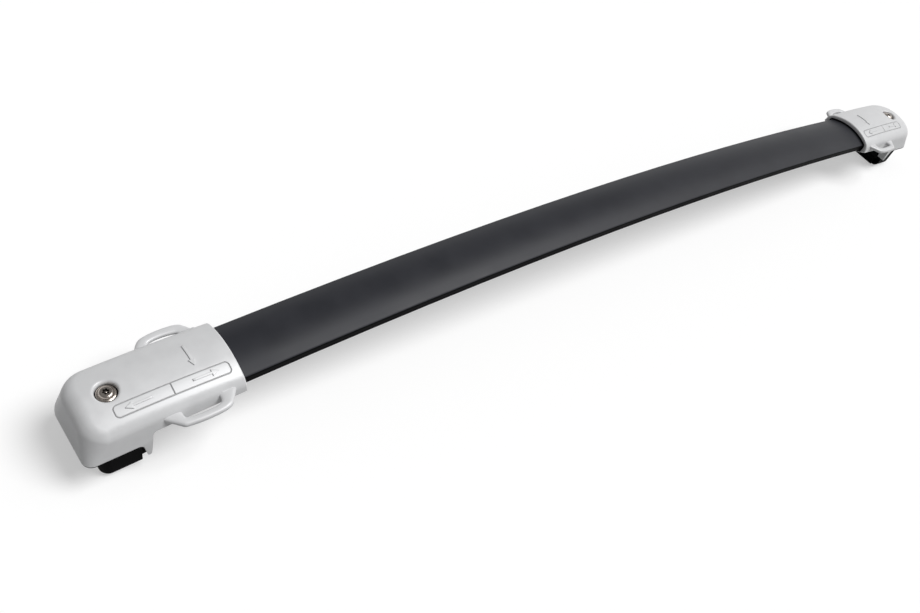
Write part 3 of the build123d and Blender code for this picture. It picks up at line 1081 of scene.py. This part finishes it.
@dataclass
class Clamp(EndPart):
    """The bolt, nut and jaw of one end, in millimetres of the end's frame.

    Attributes:
        finishes: Finish of each node.
        bolt_x: Distance of the bolt from the mouth.
        bolt_edge: Rounding of the edges of the pieces added to the bolt.
        seat: Height of the flange's underside.
        flange_radius: Radius of the flange.
        flange_edge: Height of its edge.
        flange_slope: Rise from its edge to the bolt's head.
        flange_sides: Number of its sides.
        head_radius: Radius of the bolt's head.
        socket_reach: Radius within which the socket's faces lie.
        socket_height: Heights between which they lie.
        pin_middle: Height of the pin's middle.
        pin_radius: Radius of the pin.
        pin_height: Its height below the tapered tip.
        pin_inset: Taper of its tip.
        pin_rise: Height of its tip.
        pin_sides: Number of its sides.
        jaw_low: Low corner of the block that the jaw is trimmed to.
        jaw_high: High corner of that block.
        jaw_corner: Size of the block's rounded corner.
        jaw_segments: Number of segments in that corner.
    """

    finishes: tuple[tuple[str, Finish], ...] = (
        ("clamp_bolt", BOLT_STEEL),
        ("bolt_ring", STEEL),
        ("clamp_nut", STEEL),
        ("clamp_jaw", JAW_PLASTIC),
        ("jaw_pad", RUBBER),
    )
    bolt_x: float = 94.0
    bolt_edge: float = 0.15
    seat: float = 11.82
    flange_radius: float = 7.3
    flange_edge: float = 0.75
    flange_slope: float = 0.5
    flange_sides: int = 72
    head_radius: float = 5.7
    socket_reach: float = 2.9
    socket_height: tuple[float, float] = (12.6, 15.06)
    pin_middle: float = 13.6
    pin_radius: float = 0.95
    pin_height: float = 1.5
    pin_inset: float = 0.4
    pin_rise: float = 0.25
    pin_sides: int = 32
    jaw_low: Point = (60.0, -31.6, -46.0)
    jaw_high: Point = (114.52, 31.52, -9.0)
    jaw_corner: float = 14.0
    jaw_segments: int = 14

    def dress(self) -> None:
        """Paint the pieces of the clamp, and add the flange, the pin and the rounded jaw."""
        for name, finish in self.finishes:
            self.shop.paint(self.node(name), finish)
        self.paint_socket_shade()
        self.add_flange()
        self.add_pin()
        self.round_jaw()

    def paint_socket_shade(self) -> None:
        """Paint shade on the faces of the drive socket: a near-black steel that stands in for the
        shade inside it.
        """
        mesh = self.node("clamp_bolt").data
        mesh.materials.append(self.shop.material(SOCKET_PAINTED_SHADE))
        end = self.end
        low, high = self.socket_height
        for face in mesh.polygons:
            x, y, z = end.local(face.center)
            if math.hypot(x - self.bolt_x, y) < self.socket_reach and low < z < high:
                face.material_index = len(mesh.materials) - 1

    def add_flange(self) -> None:
        """Turn the flange under the bolt's head, which sits on the washer."""
        bpy.ops.object.select_all(action="DESELECT")
        bpy.ops.mesh.primitive_circle_add(
            vertices=self.flange_sides, radius=self.flange_radius * MM, fill_type="NGON",
            location=ORIGIN,
        )
        piece = bpy.context.object
        piece.name = f"{self.side.word}_bolt_flange"
        lift = {"value": (0.0, 0.0, self.flange_edge * MM)}
        wide = (self.flange_radius - self.head_radius) * MM
        with editing():
            bpy.ops.mesh.select_all(action="SELECT")
            bpy.ops.mesh.extrude_region_move(TRANSFORM_OT_translate=lift)
            bpy.ops.mesh.inset(thickness=wide, depth=self.flange_slope * MM)
        self.put(piece, Vector((self.bolt_x, 0.0, self.seat)))
        self.complete(piece)

    def add_pin(self) -> None:
        """Turn the pin in the middle of the socket."""
        bpy.ops.object.select_all(action="DESELECT")
        bpy.ops.mesh.primitive_cylinder_add(
            vertices=self.pin_sides, radius=self.pin_radius * MM, depth=self.pin_height * MM,
            location=ORIGIN,
        )
        piece = bpy.context.object
        piece.name = f"{self.side.word}_socket_pin"
        clear_picks(Element.FACE)
        for face in piece.data.polygons:
            face.select = face.normal.z > FACING
        with editing():
            bpy.ops.mesh.inset(thickness=self.pin_inset * MM, depth=self.pin_rise * MM)
        self.put(piece, Vector((self.bolt_x, 0.0, self.pin_middle)))
        self.complete(piece)

    def put(self, piece: Piece, middle: Vector) -> None:
        """Move a piece from the bench to this end, with its faces outward.

        Args:
            piece: Piece on the bench.
            middle: Place of the bench's middle in the end, in millimetres.
        """
        end = self.end
        for vertex in piece.data.vertices:
            vertex.co = end.world(*(vertex.co / MM + middle))
        face_outward()

    def complete(self, piece: Piece) -> None:
        """Round, mount and paint a piece of the bolt.

        Args:
            piece: The piece, in its place.
        """
        round_edges(piece, self.bolt_edge)
        bpy.ops.object.shade_smooth_by_angle(angle=SMOOTH_ANGLE)
        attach(piece, f"{self.side.word}_bolt")
        self.finish(piece, BOLT_STEEL)

    def jaw_block(self) -> Piece:
        """Make the block that the jaw is trimmed to.

        Returns:
            The block, with its back corner rounded.
        """
        bpy.ops.object.select_all(action="DESELECT")
        bpy.ops.mesh.primitive_cube_add(size=UNIT, location=ORIGIN)
        block = bpy.context.object
        low, high = Vector(self.jaw_low), Vector(self.jaw_high)
        with editing():
            bpy.ops.transform.resize(value=(high - low) * MM, center_override=ORIGIN)
        clear_picks(Element.EDGE)
        spots = block.data.vertices
        for edge in block.data.edges:
            ends = [spots[index].co for index in edge.vertices]
            edge.select = all(spot.x > 0 and spot.y > 0 for spot in ends)
        with editing():
            bpy.ops.mesh.bevel(offset=self.jaw_corner * MM, segments=self.jaw_segments)
        self.put(block, (low + high) / 2)
        return block

    def round_jaw(self) -> None:
        """Round the back corner of the jaw to follow the nose."""
        block = self.jaw_block()
        piece = copy_of(self.node("clamp_jaw"), f"{self.side.word}_rounded_jaw")
        carve(piece, block, Carving.KEEP)
        bpy.ops.object.shade_smooth_by_angle(angle=SMOOTH_ANGLE)
        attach(piece, f"{self.side.word}_jaw")
        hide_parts(f"{self.side.word}_clamp_jaw")
        self.finish(piece, JAW_PLASTIC)


@dataclass(frozen=True)
class Lamp:
    """A soft lamp.

    Attributes:
        name: Its name.
        place: Where it hangs, shining at the middle of the scene.
        spread: Its width in degrees.
        strength: Its strength.
    """

    name: str
    place: Point
    spread: float
    strength: float


@dataclass
class Studio:
    """Floor, lamps, surroundings and camera.

    Attributes:
        camera_place: Where the camera stands, in metres.
        azimuth: Turn of its view in degrees, from the back to the right.
        elevation: Slope of its view in degrees, downward.
        roll: Roll of the camera in degrees.
        lens: Focal length in millimetres.
        sensor: Width of the picture in the camera in millimetres.
        far: Distance to which the camera sees, in metres.
        floor_size: Length of the floor's sides in metres.
        lamps: The lamps.
        fill: Light from all round.
        wall_fade: Heights of view between which the white wall turns to the darker ceiling.
        bounce: Shade of the floor for the light that it throws back.
        white: Shade of the floor where it is seen.
        glow: Share of its own light in the floor where it is seen.
    """

    camera_place: Point = (-0.7163, -0.3975, 0.6598)
    azimuth: float = 53.37
    elevation: float = 44.90
    roll: float = 22.54
    lens: float = 38.61
    sensor: float = 36.0
    far: float = 50.0
    floor_size: float = 14.0
    lamps: tuple[Lamp, ...] = (
        Lamp("key", (0.40, -0.27, 0.87), spread=34.0, strength=2.55),
        Lamp("right", (0.62, -0.20, 0.76), spread=40.0, strength=0.3),
    )
    fill: float = 0.20
    wall_fade: tuple[float, float] = (0.2, 0.5)
    bounce: float = 0.15
    white: float = 1.03
    glow: float = 0.45

    def build(self) -> None:
        """Set up the studio."""
        self.floor()
        self.surroundings()
        self.light()
        self.shoot()
        bpy.context.scene.view_settings.view_transform = "Standard"

    def seen(self, tree: bpy.types.NodeTree) -> Socket:
        """Tell the rays that see the backdrop from those that only light the object.

        Args:
            tree: Node tree to work in.

        Returns:
            1 for a ray from the camera or off a glossy or clear surface, else 0.
        """
        rays = tree.nodes.new("ShaderNodeLightPath")
        total = rays.outputs["Is Camera Ray"]
        for name in ("Is Glossy Ray", "Is Transmission Ray"):
            either = tree.nodes.new("ShaderNodeMath")
            either.operation = "MAXIMUM"
            tree.links.new(total, either.inputs[0])
            tree.links.new(rays.outputs[name], either.inputs[1])
            total = either.outputs["Value"]
        return total

    def floor(self) -> None:
        """Lay the pale floor, white where it is seen, which takes the shadow."""
        bpy.ops.object.select_all(action="DESELECT")
        bpy.ops.mesh.primitive_plane_add(size=self.floor_size, location=ORIGIN)
        plane = bpy.context.object
        plane.name = "floor"
        material = bpy.data.materials.new("pale_floor")
        material.use_nodes = True
        tree = material.node_tree
        tree.nodes.remove(tree.nodes["Principled BSDF"])
        shade = tree.nodes.new("ShaderNodeMixShader")
        matt, pale = (tree.nodes.new("ShaderNodeBsdfDiffuse") for _ in range(2))
        for node, level in ((matt, self.bounce), (pale, self.white)):
            node.inputs["Color"].default_value = (level, level, level, 1.0)
        glow = tree.nodes.new("ShaderNodeEmission")
        face = tree.nodes.new("ShaderNodeMixShader")
        face.inputs["Fac"].default_value = self.glow
        tree.links.new(pale.outputs["BSDF"], face.inputs[1])
        tree.links.new(glow.outputs["Emission"], face.inputs[2])
        tree.links.new(matt.outputs["BSDF"], shade.inputs[1])
        tree.links.new(face.outputs["Shader"], shade.inputs[2])
        tree.links.new(self.seen(tree), shade.inputs["Fac"])
        tree.links.new(shade.outputs["Shader"], tree.nodes["Material Output"].inputs["Surface"])
        plane.data.materials.append(material)

    def surroundings(self) -> None:
        """Set a pale world, white where it is seen round the horizon, with a darker ceiling."""
        world = bpy.data.worlds.new("studio")
        bpy.context.scene.world = world
        world.use_nodes = True
        tree = world.node_tree
        level = tree.nodes.new("ShaderNodeMapRange")
        level.inputs["To Min"].default_value = self.fill
        level.inputs["To Max"].default_value = 1.0
        view = tree.nodes.new("ShaderNodeTexCoord")
        height = tree.nodes.new("ShaderNodeSeparateXYZ")
        tree.links.new(view.outputs["Generated"], height.inputs["Vector"])
        wall = tree.nodes.new("ShaderNodeMapRange")
        wall.interpolation_type = "SMOOTHSTEP"
        wall.inputs["From Min"].default_value = self.wall_fade[0]
        wall.inputs["From Max"].default_value = self.wall_fade[1]
        wall.inputs["To Min"].default_value = 1.0
        wall.inputs["To Max"].default_value = 0.0
        tree.links.new(height.outputs["Z"], wall.inputs["Value"])
        white = tree.nodes.new("ShaderNodeMath")
        white.operation = "MULTIPLY"
        tree.links.new(self.seen(tree), white.inputs[0])
        tree.links.new(wall.outputs["Result"], white.inputs[1])
        tree.links.new(white.outputs["Value"], level.inputs["Value"])
        background = tree.nodes["Background"]
        background.inputs["Color"].default_value = (1.0, 1.0, 1.0, 1.0)
        tree.links.new(level.outputs["Result"], background.inputs["Strength"])

    def light(self) -> None:
        """Hang the soft lamps."""
        for lamp in self.lamps:
            data = bpy.data.lights.new(lamp.name, "SUN")
            data.angle = math.radians(lamp.spread)
            data.energy = lamp.strength
            hung = bpy.data.objects.new(lamp.name, data)
            turn = Vector(lamp.place).to_track_quat("Z", "Y").to_matrix().to_4x4()
            hung.matrix_world = Matrix.Translation(lamp.place) @ turn
            bpy.context.scene.collection.objects.link(hung)

    def shoot(self) -> None:
        """Set the camera at the photograph's place and angle."""
        turn, tilt, roll = map(math.radians, (self.azimuth, self.elevation, self.roll))
        flat = Vector((math.sin(turn), math.cos(turn), 0.0))
        ahead = flat * math.cos(tilt) - Vector((0.0, 0.0, math.sin(tilt)))
        level = ahead.cross(Vector((0.0, 0.0, 1.0))).normalized()
        above = level.cross(ahead)
        right = level * math.cos(roll) + above * math.sin(roll)
        up = above * math.cos(roll) - level * math.sin(roll)
        data = bpy.data.cameras.new("camera")
        data.sensor_fit = "HORIZONTAL"
        data.sensor_width = self.sensor
        data.lens = self.lens
        data.clip_end = self.far
        camera = bpy.data.objects.new("camera", data)
        turned = Matrix((right, up, -ahead)).transposed().to_4x4()
        camera.matrix_world = Matrix.Translation(self.camera_place) @ turned
        bpy.context.scene.collection.objects.link(camera)
        bpy.context.scene.camera = camera


def main() -> None:
    """Dress the crossbar and set up the studio."""
    logging.basicConfig(level=logging.INFO)
    shop = Shop()
    Crossbar(shop).dress()
    for side in Side:
        EndCap(shop, side).dress()
        Clamp(shop, side).dress()
    Studio().build()


if __name__ == "__main__":
    main()
